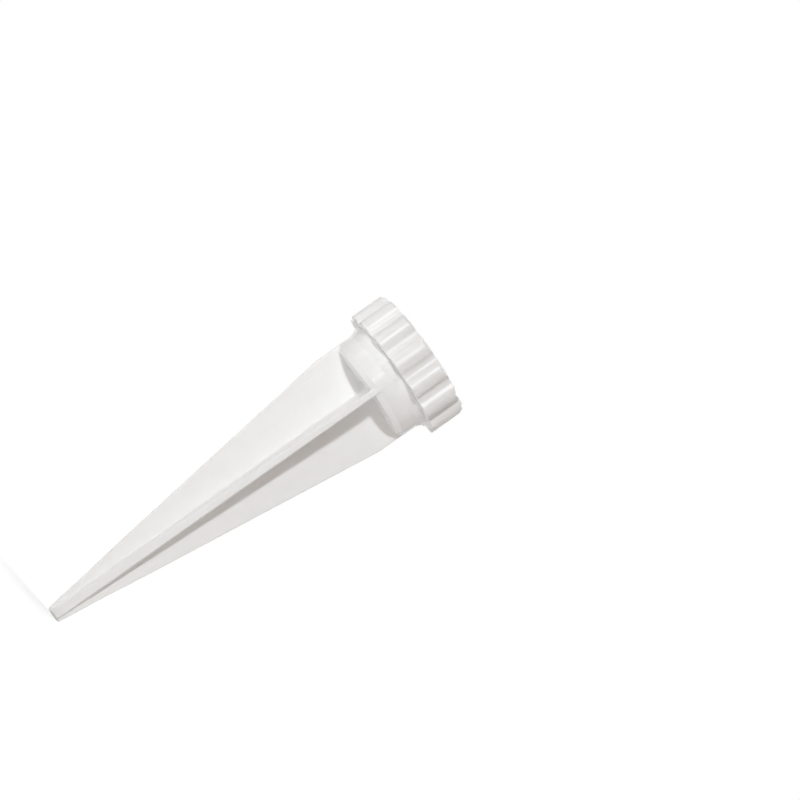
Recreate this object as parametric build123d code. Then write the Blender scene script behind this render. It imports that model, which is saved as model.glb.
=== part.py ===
"""Self watering spike for a drinks bottle.

A cup on four tapering fins is pushed into the soil. A lobed collar takes the bottle's neck and
screws into the cup. Turning the collar back lifts a rubber pad off its seat, and water drips
through the cup's floor into the soil between the fins.

Millimetres, +Z up. The origin is on the axis, at the underside of the cup: the soil line.
"""
import os
from math import cos, hypot, radians

from build123d import *

# Bottle neck that the socket takes
bottle_thread_d = 27.4
bottle_mouth_d = 25.0
bottle_lip_t = 1.65
thread_clearance = 0.25
mouth_clearance = 0.3
mouth_pilot_h = 1.2

# Fins
fin_count = 4
fin_length = 116.0
fin_parallel_h = 7.2
fin_root_t = 3.2
fin_edge_t = 2.0
fin_root_fillet = 0.7
fin_edge_fillet = 0.35
soil_fillet = 0.4
tip_half_w = 2.7
tip_chamfer = 0.4

# Cup
cup_h = 9.5
cup_wall = 2.45
floor_t = 2.0
cup_chamfer = 1.6
flare_start = 6.0
flare_out = 1.05
rim_land = 0.4
rib_w = 5.2
rib_h = 0.2
rib_lean = 1.1
rib_bevel = 0.4

# Drip valve in the cup's floor
drip_hole_d = 1.8
drip_hole_r = 5.2
seat_h = 0.8
seat_w = 1.0
seat_margin = 0.6
valve_washer_t = 1.5
valve_washer_margin = 0.7
valve_pin_d = 3.0
valve_pin_gap = 0.3
valve_pin_clearance = 0.05
stem_d = 9.0
foot_t = 1.0

# Screw joint between collar and cup
spigot_wall = 1.2
spigot_gap = 0.2
spigot_floor_gap = 1.2
spigot_chamfer = 0.4
spigot_bore_d = 21.6
thread_relief = 0.6
thread_zone_h = 2.4
seal_ring_t = 1.6
seal_ring_land = 0.6
seal_clearance = 0.15

# Collar
collar_h = 11.5
grip_t = 7.85
lobe_count = 14
lobe_turn = 4.8
lobe_round = 3.4
lobe_depth = 2.24
hollow_fit = 0.85
collar_top_chamfer = 1.0
socket_lead_in = 0.8
web_t = 1.6
web_sink = 1.3
window_stem_gap = 1.0
window_washer_gap = 0.7
window_spoke_w = 2.6
window_fillet = 0.7

# Bottle washer
bottle_washer_t = 1.5
bottle_washer_inset = 0.45

# Radii, from the bottle's mouth outwards
pilot_r = bottle_mouth_d / 2 + mouth_clearance
spigot_r = pilot_r + spigot_wall
cup_bore_r = spigot_r + spigot_gap
thread_bore_r = cup_bore_r + thread_relief
panel_r = cup_bore_r + cup_wall
cup_r = panel_r + rib_h
groove_r = cup_bore_r - seal_ring_t - 2 * seal_clearance
socket_r = bottle_thread_d / 2 + thread_clearance
collar_r = socket_r + grip_t
bottle_washer_r = pilot_r - seal_clearance
bottle_washer_bore_r = bottle_mouth_d / 2 - bottle_lip_t - bottle_washer_inset
seat_inner_r = drip_hole_r + drip_hole_d / 2 + seat_margin
seat_outer_r = seat_inner_r + seat_w
valve_washer_r = seat_outer_r + valve_washer_margin

# Levels, from the cup's floor upwards
seat_z = floor_t + seat_h
foot_z = seat_z + valve_washer_t
spigot_z = floor_t + spigot_floor_gap
groove_z = spigot_z + seal_ring_land
groove_w = seal_ring_t + 2 * seal_clearance
thread_zone_z = cup_h - thread_zone_h
web_top_z = cup_h - web_sink
web_bottom_z = web_top_z - web_t
mouth_z = web_top_z + bottle_washer_t
socket_z = mouth_z + mouth_pilot_h
collar_top_z = cup_h + collar_h


def turned(*points):
    """Solid of revolution about Z from an outline given as (radius, height) points."""
    return revolve(Plane.XZ * make_face(Polyline(*points, close=True)), Axis.Z)


def tube(outer_r, inner_r, low_z, high_z):
    """Plain ring between two heights."""
    ring = Circle(outer_r) - Circle(inner_r)
    return extrude(Pos(0, 0, low_z) * ring, high_z - low_z)


def disc(radius, low_z, high_z):
    """Plain round plate between two heights."""
    return extrude(Pos(0, 0, low_z) * Circle(radius), high_z - low_z)


def from_axis(point):
    """Distance of a point from the Z axis."""
    return Vector(point.X, point.Y).length


def round_the_axis(piece):
    """Copies of a piece, one at each fin."""
    return [Rot(0, 0, 360 * i / fin_count) * piece for i in range(fin_count)]


def cup_outside(wall_r):
    """Cup with a bevelled foot and a flared rim, without its hollow."""
    rim_r = wall_r + flare_out
    return turned(
        (0, 0),
        (wall_r - cup_chamfer, 0),
        (wall_r, cup_chamfer),
        (wall_r, flare_start),
        (rim_r, cup_h - rim_land),
        (rim_r, cup_h),
        (0, cup_h),
    )


def ribs():
    """Raised ribs on the cup, one above each fin: proud on one side and near flush on the other."""
    rib_shift = (rib_w - fin_edge_t) / 2
    leaning = Pos(0, -rib_lean, 0) * cup_outside(hypot(cup_r, rib_lean))
    rib = leaning & Pos(cup_r, -rib_shift, cup_h / 2) * Box(cup_r, rib_w, cup_h)
    proud_side = rib.faces().sort_by(Axis.Y)[0]
    outer_edges = proud_side.edges().filter_by(lambda e: from_axis(e.center()) > panel_r - cup_chamfer)
    return Part() + round_the_axis(chamfer(outer_edges, rib_bevel))


def fins():
    """Four drafted fins in a cross, tapering in a straight line to a blunt tip."""
    outline = Polyline(
        (0, -fin_length),
        (tip_half_w - tip_chamfer, -fin_length),
        (tip_half_w, tip_chamfer - fin_length),
        (cup_r, -fin_parallel_h),
        (cup_r, cup_chamfer),
        (0, cup_chamfer),
        close=True,
    )
    slab = extrude(Plane.XZ * make_face(outline), fin_root_t, both=True)
    half_root = fin_root_t / 2
    half_edge = fin_edge_t / 2
    blade = Polygon(
        (0, -half_root),
        (cup_r, -half_edge),
        (cup_r, half_edge),
        (0, half_root),
        align=None,
    )
    fin = slab & extrude(Pos(0, 0, -fin_length) * blade, fin_length + cup_chamfer)
    long_edges = fin.edges().filter_by(
        lambda e: e.length > fin_parallel_h and e.center().X > fin_root_t and e.center().Z < 0
    )
    fin = fillet(long_edges, fin_edge_fillet)

    cross = Part() + round_the_axis(fin)
    roots = cross.edges().filter_by(Axis.Z).filter_by(lambda e: from_axis(e.center()) < fin_root_t)
    return fillet(roots, fin_root_fillet)


def spike():
    """Fins and cup in one moulding, with the drip holes and the valve seat in its floor."""
    body = cup_outside(panel_r) + ribs() + fins()
    soil_corners = body.edges().filter_by_position(Axis.Z, 0, 0).filter_by(
        lambda e: from_axis(e.center()) < panel_r - 2 * cup_chamfer
    )
    body = fillet(soil_corners, soil_fillet)
    body -= disc(cup_bore_r, floor_t, cup_h)
    body -= disc(thread_bore_r, thread_zone_z, cup_h)
    body += tube(seat_outer_r, seat_inner_r, floor_t, seat_z)
    between_fins = PolarLocations(drip_hole_r, fin_count, start_angle=180 / fin_count)
    holes = Sketch() + between_fins * Circle(drip_hole_d / 2)
    body -= extrude(holes, floor_t)
    return body


def lobed_outline():
    """Collar seen from above: round lobes joined by round hollows."""
    lobe_centre_r = collar_r - lobe_round
    valley_r = collar_r - lobe_depth
    lobes = PolarLocations(lobe_centre_r, lobe_count, start_angle=lobe_turn)
    outline = Circle(valley_r) + lobes * Circle(lobe_round)

    # A hollow of this radius touches both of its lobes and the valley's floor.
    across = lobe_centre_r * cos(radians(180 / lobe_count))
    reach = lobe_centre_r**2 + valley_r**2 - lobe_round**2 - 2 * across * valley_r
    hollow_r = reach / (2 * (across + lobe_round - valley_r))
    return fillet(outline.vertices(), hollow_fit * hollow_r)


def collar():
    """Lobed screw collar: bottle socket above, spigot, web and valve stem below."""
    grip = extrude(Pos(0, 0, cup_h) * lobed_outline(), collar_h)
    grip &= turned(
        (0, cup_h),
        (collar_r, cup_h),
        (collar_r, collar_top_z - collar_top_chamfer),
        (collar_r - collar_top_chamfer, collar_top_z),
        (0, collar_top_z),
    )

    spigot = turned(
        (0, spigot_z),
        (spigot_r - spigot_chamfer, spigot_z),
        (spigot_r, spigot_z + spigot_chamfer),
        (spigot_r, cup_h),
        (0, cup_h),
    )
    body = grip + spigot
    body -= disc(spigot_bore_d / 2, spigot_z, web_bottom_z)
    body -= tube(spigot_r, groove_r, groove_z, groove_z + groove_w)
    body -= disc(pilot_r, web_top_z, socket_z)
    body -= disc(socket_r, socket_z, collar_top_z)
    body -= turned(
        (0, collar_top_z - socket_lead_in),
        (socket_r, collar_top_z - socket_lead_in),
        (socket_r + socket_lead_in, collar_top_z),
        (0, collar_top_z),
    )

    window = Circle(bottle_washer_bore_r - window_washer_gap) - Circle(stem_d / 2 + window_stem_gap)
    window -= Rectangle(2 * pilot_r, window_spoke_w) + Rectangle(window_spoke_w, 2 * pilot_r)
    window = fillet(window.vertices(), window_fillet)
    body -= extrude(Pos(0, 0, web_bottom_z) * window, web_t)

    body += disc(stem_d / 2, foot_z, web_bottom_z)
    body += disc(valve_washer_r, foot_z, foot_z + foot_t)
    body += disc(valve_pin_d / 2, seat_z + valve_pin_gap, foot_z)
    return body


def valve_washer():
    """Rubber pad that closes the drip holes' seat."""
    return tube(valve_washer_r, valve_pin_d / 2 + valve_pin_clearance, seat_z, foot_z)


def seal_ring():
    """Square-cut rubber ring in the spigot's groove."""
    inner_r = groove_r + seal_clearance
    low_z = groove_z + seal_clearance
    return tube(inner_r + seal_ring_t, inner_r, low_z, low_z + seal_ring_t)


def bottle_washer():
    """Rubber washer under the bottle's mouth."""
    return tube(bottle_washer_r, bottle_washer_bore_r, web_top_z, mouth_z)


pieces = {
    "spike": spike(),
    "bottle_collar": collar(),
    "valve_washer": valve_washer(),
    "seal_ring": seal_ring(),
    "bottle_washer": bottle_washer(),
}
os.makedirs("parts", exist_ok=True)
for name, piece in pieces.items():
    export_step(piece, f"parts/{name}.step")
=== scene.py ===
import math

import bpy
from mathutils import Matrix, Vector


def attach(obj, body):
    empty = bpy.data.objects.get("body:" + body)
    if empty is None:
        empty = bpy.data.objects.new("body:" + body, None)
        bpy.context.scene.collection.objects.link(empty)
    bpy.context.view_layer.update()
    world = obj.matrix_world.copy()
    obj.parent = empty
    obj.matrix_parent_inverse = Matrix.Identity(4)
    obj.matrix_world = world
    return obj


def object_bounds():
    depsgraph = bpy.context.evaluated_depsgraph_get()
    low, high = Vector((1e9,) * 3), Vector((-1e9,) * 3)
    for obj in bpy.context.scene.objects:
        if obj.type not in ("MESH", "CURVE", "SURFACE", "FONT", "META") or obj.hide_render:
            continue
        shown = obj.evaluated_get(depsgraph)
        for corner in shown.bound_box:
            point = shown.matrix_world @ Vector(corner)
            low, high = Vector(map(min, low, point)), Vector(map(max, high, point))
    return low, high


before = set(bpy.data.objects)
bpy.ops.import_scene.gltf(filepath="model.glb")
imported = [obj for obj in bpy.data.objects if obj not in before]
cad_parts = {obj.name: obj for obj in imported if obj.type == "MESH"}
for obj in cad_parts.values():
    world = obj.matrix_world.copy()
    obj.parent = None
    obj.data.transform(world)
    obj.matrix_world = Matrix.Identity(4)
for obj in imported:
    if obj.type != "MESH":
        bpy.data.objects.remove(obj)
cad_low, cad_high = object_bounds()
scene = bpy.context.scene
MM = 0.001

# Radii of the collar's socket, of its spigot and of the cup's threaded bore, in millimetres
SOCKET_R = 13.95
SPIGOT_R = 14.0
CUP_THREAD_R = 14.8

# Threads of the socket and of the screw joint between collar and cup, in millimetres
SOCKET_PITCH = 2.7
SOCKET_RIDGE_H = 1.05
SOCKET_START_Z = 12.6
JOINT_PITCH = 1.5
JOINT_RIDGE_H = 0.55
JOINT_START_Z = 7.55


def linear(hex_colour):
    """Linear RGBA of an sRGB hex colour."""
    parts = [int(hex_colour[i:i + 2], 16) / 255 for i in (1, 3, 5)]
    return [c / 12.92 if c <= 0.04045 else ((c + 0.055) / 1.055) ** 2.4 for c in parts] + [1.0]


def add(tree, kind, inputs=None, **settings):
    """Adds a node with its settings, and fills its inputs with values or other nodes' outputs."""
    node = tree.nodes.new(kind)
    for name, value in settings.items():
        setattr(node, name, value)
    for name, value in (inputs or {}).items():
        if isinstance(value, bpy.types.NodeSocket):
            tree.links.new(value, node.inputs[name])
        else:
            node.inputs[name].default_value = value
    return node


def new_material(name):
    """Empty node material and its tree."""
    material = bpy.data.materials.new(name)
    material.use_nodes = True
    material.node_tree.nodes.clear()
    return material, material.node_tree


# Polypropylene, injection moulded against polished steel: clean white with a satin gloss that lights up the
# crests of the lobes, faint lines along the axis, and light that goes a millimetre or two into the fins.
white_plastic, tree = new_material("polypropylene_moulded_white")
place = add(tree, "ShaderNodeTexCoord").outputs["Object"]
# Sink marks and flow waves, 7 mm apart
waves = add(tree, "ShaderNodeTexNoise", {"Vector": place, "Scale": 1 / (7 * MM), "Detail": 2.0})
# Mould polish, drawn as coarse as 0.5 mm so that it shows
polish = add(tree, "ShaderNodeTexNoise", {"Vector": place, "Scale": 1 / (0.5 * MM), "Detail": 3.0})
# Draw lines that the opening mould leaves along the axis: 15 mm long, drawn 0.9 mm apart so that they show
stretched = add(tree, "ShaderNodeMapping", {"Vector": place, "Scale": (1.0, 1.0, 0.06)})
draw_lines = add(tree, "ShaderNodeTexNoise", {
    "Vector": stretched.outputs["Vector"], "Scale": 1 / (0.9 * MM), "Detail": 2.0,
})
shade = add(tree, "ShaderNodeMix", {
    "Factor": waves.outputs["Fac"], "A": linear("#F1F0EE"), "B": linear("#F6F5F3"),
}, data_type="RGBA")
rough = add(tree, "ShaderNodeMapRange", {"Value": polish.outputs["Fac"], "To Min": 0.3, "To Max": 0.38})
soft_edge = add(tree, "ShaderNodeBevel", {"Radius": 0.12 * MM}, samples=6)
sunk = add(tree, "ShaderNodeBump", {
    "Height": waves.outputs["Fac"], "Normal": soft_edge.outputs["Normal"],
    "Strength": 0.35, "Distance": 0.1 * MM,
})
lined = add(tree, "ShaderNodeBump", {
    "Height": draw_lines.outputs["Fac"], "Normal": sunk.outputs["Normal"],
    "Strength": 0.8, "Distance": 0.1 * MM,
})
skin = add(tree, "ShaderNodeBump", {
    "Height": polish.outputs["Fac"], "Normal": lined.outputs["Normal"],
    "Strength": 0.07, "Distance": 0.01 * MM,
})
plastic = add(tree, "ShaderNodeBsdfPrincipled", {
    "Base Color": shade.outputs[2], "Roughness": rough.outputs["Result"], "IOR": 1.49,
    "Subsurface Weight": 0.25, "Subsurface Radius": (1.0, 0.95, 0.9), "Subsurface Scale": 1.5 * MM,
    "Normal": skin.outputs["Normal"],
})
add(tree, "ShaderNodeOutputMaterial", {"Surface": plastic.outputs["BSDF"]})

# EPDM rubber, moulded and cut: near black and dull, with a fine grain and a grey bloom in patches.
seal_rubber, tree = new_material("epdm_rubber_moulded_black")
place = add(tree, "ShaderNodeTexCoord").outputs["Object"]
# Bloom in patches 4 mm apart, and moulded grain, drawn as coarse as 0.25 mm so that it shows
bloom = add(tree, "ShaderNodeTexNoise", {"Vector": place, "Scale": 1 / (4 * MM), "Detail": 4.0})
grain = add(tree, "ShaderNodeTexNoise", {"Vector": place, "Scale": 1 / (0.25 * MM), "Detail": 3.0})
shade = add(tree, "ShaderNodeMix", {
    "Factor": bloom.outputs["Fac"], "A": linear("#1B1B1C"), "B": linear("#2C2C2D"),
}, data_type="RGBA")
rough = add(tree, "ShaderNodeMapRange", {"Value": bloom.outputs["Fac"], "To Min": 0.55, "To Max": 0.75})
skin = add(tree, "ShaderNodeBump", {
    "Height": grain.outputs["Fac"], "Strength": 0.4, "Distance": 0.03 * MM,
})
rubber = add(tree, "ShaderNodeBsdfPrincipled", {
    "Base Color": shade.outputs[2], "Roughness": rough.outputs["Result"], "IOR": 1.52,
    "Normal": skin.outputs["Normal"],
})
add(tree, "ShaderNodeOutputMaterial", {"Surface": rubber.outputs["BSDF"]})

finishes = {
    "spike": white_plastic,
    "bottle_collar": white_plastic,
    "valve_washer": seal_rubber,
    "seal_ring": seal_rubber,
    "bottle_washer": seal_rubber,
}
for node, finish in finishes.items():
    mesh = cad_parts[node].data
    mesh.materials.clear()
    mesh.materials.append(finish)

# Thread ridges: one trapezoid with rounded corners, swept along a right-hand helix and fading out at both
# ends. It stands out from the wall where its crest has the larger radius, and inwards where it has the
# smaller. Its foot is sunk in the wall by a share of its height, and its corners are rounded by a share of
# its crest's width.
STEPS_PER_TURN = 120
FOOT_SHARE = 0.25
ROUND_SHARE = 0.35
CORNER_STEPS = 3
FADE_TURNS = 0.08
FADED_SIZE = 0.2
ridge = bpy.data.node_groups.new("thread_ridge", "GeometryNodeTree")
ridge.interface.new_socket("Geometry", in_out="OUTPUT", socket_type="NodeSocketGeometry")
ridge_inputs = {}
for name, kind in (
    ("Wall Radius", "NodeSocketFloat"),
    ("Crest Radius", "NodeSocketFloat"),
    ("Root Width", "NodeSocketFloat"),
    ("Crest Width", "NodeSocketFloat"),
    ("Pitch", "NodeSocketFloat"),
    ("Turns", "NodeSocketFloat"),
    ("Start Height", "NodeSocketFloat"),
    ("Start Turn", "NodeSocketFloat"),
    ("Finish", "NodeSocketMaterial"),
):
    ridge_inputs[name] = ridge.interface.new_socket(name, in_out="INPUT", socket_type=kind).identifier
sizes = add(ridge, "NodeGroupInput").outputs

rise = add(ridge, "ShaderNodeMath", {0: sizes["Pitch"], 1: sizes["Turns"]}, operation="MULTIPLY")
helix = add(ridge, "GeometryNodeCurveSpiral", {
    "Resolution": STEPS_PER_TURN, "Rotations": sizes["Turns"], "Height": rise.outputs[0],
    "Start Radius": sizes["Wall Radius"], "End Radius": sizes["Wall Radius"], "Reverse": True,
})
upright_helix = add(ridge, "GeometryNodeSetCurveNormal", {"Curve": helix.outputs["Curve"]}, mode="Z_UP")

reach = add(ridge, "ShaderNodeMath", {
    0: sizes["Crest Radius"], 1: sizes["Wall Radius"],
}, operation="SUBTRACT")
sunk_foot = add(ridge, "ShaderNodeMath", {0: reach.outputs[0], 1: -FOOT_SHARE}, operation="MULTIPLY")
corners = {}
for point, out, width, side in (
    ("Point 1", sunk_foot, "Root Width", -0.5),
    ("Point 2", reach, "Crest Width", -0.5),
    ("Point 3", reach, "Crest Width", 0.5),
    ("Point 4", sunk_foot, "Root Width", 0.5),
):
    half_width = add(ridge, "ShaderNodeMath", {0: sizes[width], 1: side}, operation="MULTIPLY")
    corner = add(ridge, "ShaderNodeCombineXYZ", {"X": out.outputs[0], "Y": half_width.outputs[0]})
    corners[point] = corner.outputs[0]
section = add(ridge, "GeometryNodeCurvePrimitiveQuadrilateral", corners, mode="POINTS")
corner_r = add(ridge, "ShaderNodeMath", {0: sizes["Crest Width"], 1: ROUND_SHARE}, operation="MULTIPLY")
rounded = add(ridge, "GeometryNodeFilletCurve", {
    "Curve": section.outputs["Curve"], "Count": CORNER_STEPS, "Radius": corner_r.outputs[0],
    "Limit Radius": True,
}, mode="POLY")

along = add(ridge, "GeometryNodeSplineParameter").outputs["Factor"]
from_end = add(ridge, "ShaderNodeMath", {0: 1.0, 1: along}, operation="SUBTRACT")
to_tip = add(ridge, "ShaderNodeMath", {0: along, 1: from_end.outputs[0]}, operation="MINIMUM")
turns_to_tip = add(ridge, "ShaderNodeMath", {
    0: to_tip.outputs[0], 1: sizes["Turns"],
}, operation="MULTIPLY")
fade = add(ridge, "ShaderNodeMapRange", {
    "Value": turns_to_tip.outputs[0], "From Max": FADE_TURNS, "To Min": FADED_SIZE, "To Max": 1.0,
}, interpolation_type="SMOOTHSTEP")
swept = add(ridge, "GeometryNodeCurveToMesh", {
    "Curve": upright_helix.outputs["Curve"], "Profile Curve": rounded.outputs["Curve"],
    "Scale": fade.outputs["Result"], "Fill Caps": True,
})
inwards = add(ridge, "FunctionNodeCompare", {
    "A": reach.outputs[0], "B": 0.0,
}, data_type="FLOAT", operation="LESS_THAN")
outside_out = add(ridge, "GeometryNodeFlipFaces", {
    "Mesh": swept.outputs["Mesh"], "Selection": inwards.outputs["Result"],
})

start_angle = add(ridge, "ShaderNodeMath", {0: sizes["Start Turn"], 1: 2 * math.pi}, operation="MULTIPLY")
spot = add(ridge, "ShaderNodeCombineXYZ", {"Z": sizes["Start Height"]})
spin = add(ridge, "ShaderNodeCombineXYZ", {"Z": start_angle.outputs[0]})
placed = add(ridge, "GeometryNodeTransform", {
    "Geometry": outside_out.outputs["Mesh"], "Translation": spot.outputs[0], "Rotation": spin.outputs[0],
})
smooth = add(ridge, "GeometryNodeSetShadeSmooth", {"Geometry": placed.outputs["Geometry"]})
single = add(ridge, "GeometryNodeRealizeInstances", {"Geometry": smooth.outputs["Geometry"]})
dressed = add(ridge, "GeometryNodeSetMaterial", {
    "Geometry": single.outputs["Geometry"], "Material": sizes["Finish"],
})
add(ridge, "NodeGroupOutput", {"Geometry": dressed.outputs["Geometry"]})

# The thread in the socket, and the two halves of the screw joint, half a turn apart so that they mesh: the
# body that each rides on, its lengths in millimetres, and its turns
joint_ridge = {"Root Width": 0.65, "Crest Width": 0.3, "Pitch": JOINT_PITCH, "Start Height": JOINT_START_Z}
thread_ridges = {
    "bottle_thread": ("collar", {
        "Wall Radius": SOCKET_R, "Crest Radius": SOCKET_R - SOCKET_RIDGE_H,
        "Root Width": 1.5, "Crest Width": 0.6, "Pitch": SOCKET_PITCH, "Start Height": SOCKET_START_Z,
    }, {"Turns": 2.2, "Start Turn": 0.1}),
    "spigot_thread": ("collar", {
        "Wall Radius": SPIGOT_R, "Crest Radius": SPIGOT_R + JOINT_RIDGE_H, **joint_ridge,
    }, {"Turns": 1.0, "Start Turn": 0.5}),
    "cup_thread": ("spike", {
        "Wall Radius": CUP_THREAD_R, "Crest Radius": CUP_THREAD_R - JOINT_RIDGE_H, **joint_ridge,
    }, {"Turns": 1.0, "Start Turn": 0.0}),
}
for name, (body, lengths, turns) in thread_ridges.items():
    piece = bpy.data.objects.new(name, bpy.data.meshes.new(name + "_start"))
    scene.collection.objects.link(piece)
    modifier = piece.modifiers.new("thread", "NODES")
    modifier.node_group = ridge
    for size, millimetres in lengths.items():
        modifier[ridge_inputs[size]] = millimetres * MM
    for size, count in turns.items():
        modifier[ridge_inputs[size]] = count
    modifier[ridge_inputs["Finish"]] = white_plastic
    evaluated = piece.evaluated_get(bpy.context.evaluated_depsgraph_get())
    swept_mesh = bpy.data.meshes.new_from_object(evaluated)
    swept_mesh.name = name
    piece.modifiers.remove(modifier)
    piece.data = swept_mesh
    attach(piece, body)

# Camera at the photograph's angle: a short tele lens, below the cup and a little to its left, rolled so
# that the axis runs from lower left to upper right. Its angles are in degrees, and it sees the origin at
# a place in millimetres to the right, down and ahead.
PICTURE_PX = 800
FOCAL_PX = 2500
SENSOR_MM = 36
CAMERA_ROLL = 54.63
CAMERA_TILT = -6.55
CAMERA_TURN = 4.5
ORIGIN_SEEN = (-10.13, -2.18, 763.88)
roll = Matrix.Rotation(math.radians(CAMERA_ROLL), 3, "Z")
tilt = Matrix.Rotation(math.radians(CAMERA_TILT), 3, "X")
upright = Matrix(((1, 0, 0), (0, 0, -1), (0, 1, 0)))
turn = Matrix.Rotation(math.radians(CAMERA_TURN), 3, "Z")
to_camera = roll @ tilt @ upright @ turn
right, down, ahead = to_camera.row
camera_data = bpy.data.cameras.new("camera")
camera_data.sensor_width = SENSOR_MM
camera_data.lens = FOCAL_PX / PICTURE_PX * SENSOR_MM
camera_data.clip_start = 0.01
camera = bpy.data.objects.new("camera", camera_data)
stand = Matrix((right, -down, -ahead)).transposed().to_4x4()
stand.translation = -(to_camera.transposed() @ (Vector(ORIGIN_SEEN) * MM))
camera.matrix_world = stand
scene.collection.objects.link(camera)
scene.camera = camera

# White backdrop, as the camera and the gloss see it, in a dim warm room
scene.view_settings.view_transform = "Standard"
world = bpy.data.worlds.new("studio")
scene.world = world
world.use_nodes = True
tree = world.node_tree
tree.nodes.clear()
path = add(tree, "ShaderNodeLightPath").outputs
seen_or_mirrored = add(tree, "ShaderNodeMath", {
    0: path["Is Camera Ray"], 1: path["Is Glossy Ray"],
}, operation="MAXIMUM")
shown = add(tree, "ShaderNodeMath", {
    0: seen_or_mirrored.outputs[0], 1: path["Is Transmission Ray"],
}, operation="MAXIMUM")
room_light = add(tree, "ShaderNodeBackground", {"Color": linear("#FFDFC6"), "Strength": 0.18})
backdrop = add(tree, "ShaderNodeBackground", {"Color": linear("#FFFFFF"), "Strength": 1.0})
sky = add(tree, "ShaderNodeMixShader", {
    0: shown.outputs[0], 1: room_light.outputs[0], 2: backdrop.outputs[0],
})
add(tree, "ShaderNodeOutputWorld", {"Surface": sky.outputs["Shader"]})

# Paper floor just under the tip: matt white, lifted to full white for the camera, and less so near the
# tip, where the shadow lies. Its half width is in metres, and so are the distances from the origin between
# which the lift grows from its least to its most.
FLOOR_HALF = 3.0
FLOOR_GAP = 0.2 * MM
LIFT_FROM = 0.15
LIFT_TO = 0.6
LIFT_LEAST = 0.55
LIFT_MOST = 0.95
floor_mesh = bpy.data.meshes.new("floor")
floor_z = cad_low[2] - FLOOR_GAP
outline = ((-1, -1), (1, -1), (1, 1), (-1, 1))
floor_corners = [(x * FLOOR_HALF, y * FLOOR_HALF, floor_z) for x, y in outline]
floor_mesh.from_pydata(floor_corners, [], [(0, 1, 2, 3)])
floor = bpy.data.objects.new("floor", floor_mesh)
scene.collection.objects.link(floor)
paper, tree = new_material("paper_white_matt")
place = add(tree, "ShaderNodeTexCoord").outputs["Object"]
away = add(tree, "ShaderNodeVectorMath", {0: place}, operation="LENGTH")
lift = add(tree, "ShaderNodeMapRange", {
    "Value": away.outputs["Value"], "From Min": LIFT_FROM, "From Max": LIFT_TO,
    "To Min": LIFT_LEAST, "To Max": LIFT_MOST,
})
path = add(tree, "ShaderNodeLightPath").outputs
lift_seen = add(tree, "ShaderNodeMath", {
    0: lift.outputs["Result"], 1: path["Is Camera Ray"],
}, operation="MULTIPLY")
matt = add(tree, "ShaderNodeBsdfDiffuse", {"Color": linear("#EDEDED")})
glow = add(tree, "ShaderNodeEmission", {"Color": linear("#F7FCFF"), "Strength": lift_seen.outputs[0]})
both = add(tree, "ShaderNodeAddShader", {0: matt.outputs["BSDF"], 1: glow.outputs["Emission"]})
add(tree, "ShaderNodeOutputMaterial", {"Surface": both.outputs["Shader"]})
floor_mesh.materials.append(paper)

# Lamps: the key shines from the front, left and above, and soft fills keep the other sides white. The
# floor's fill lies just above the paper and shines up, as the paper does. Each has its direction from the
# point on the fins that all are aimed at, its distance and size in metres, its watts and its colour.
LAMP_AIM = Vector((0, 0, -40 * MM))
lamps = {
    "key": ((-0.335, -1.0, 0.31), 0.9, 0.07, 3.6, "#F2F7FB"),
    "left_fill": ((-1.0, -0.15, 0.0), 1.0, 0.3, 1.6, "#F1F7FC"),
    "right_fill": ((1.0, -0.15, 0.0), 1.0, 0.3, 0.9, "#FFFFFF"),
    "floor_fill": ((0.0, 0.0, -1.0), 0.0755, 0.6, 0.2, "#F1F7FC"),
    "top_fill": ((0.1, 0.4, 1.0), 0.9, 0.5, 2.3, "#EEF5FC"),
    "back_fill": ((0.35, 1.0, 0.9), 0.9, 0.4, 3.2, "#EEF5FC"),
}
for name, (direction, distance, size, watts, colour) in lamps.items():
    lamp_data = bpy.data.lights.new(name, "AREA")
    lamp_data.shape = "DISK"
    lamp_data.size = size
    lamp_data.energy = watts
    lamp_data.color = linear(colour)[:3]
    lamp = bpy.data.objects.new(name, lamp_data)
    towards = Vector(direction).normalized()
    lamp.location = LAMP_AIM + towards * distance
    lamp.rotation_mode = "QUATERNION"
    lamp.rotation_quaternion = towards.to_track_quat("Z", "Y")
    lamp.visible_camera = False
    scene.collection.objects.link(lamp)
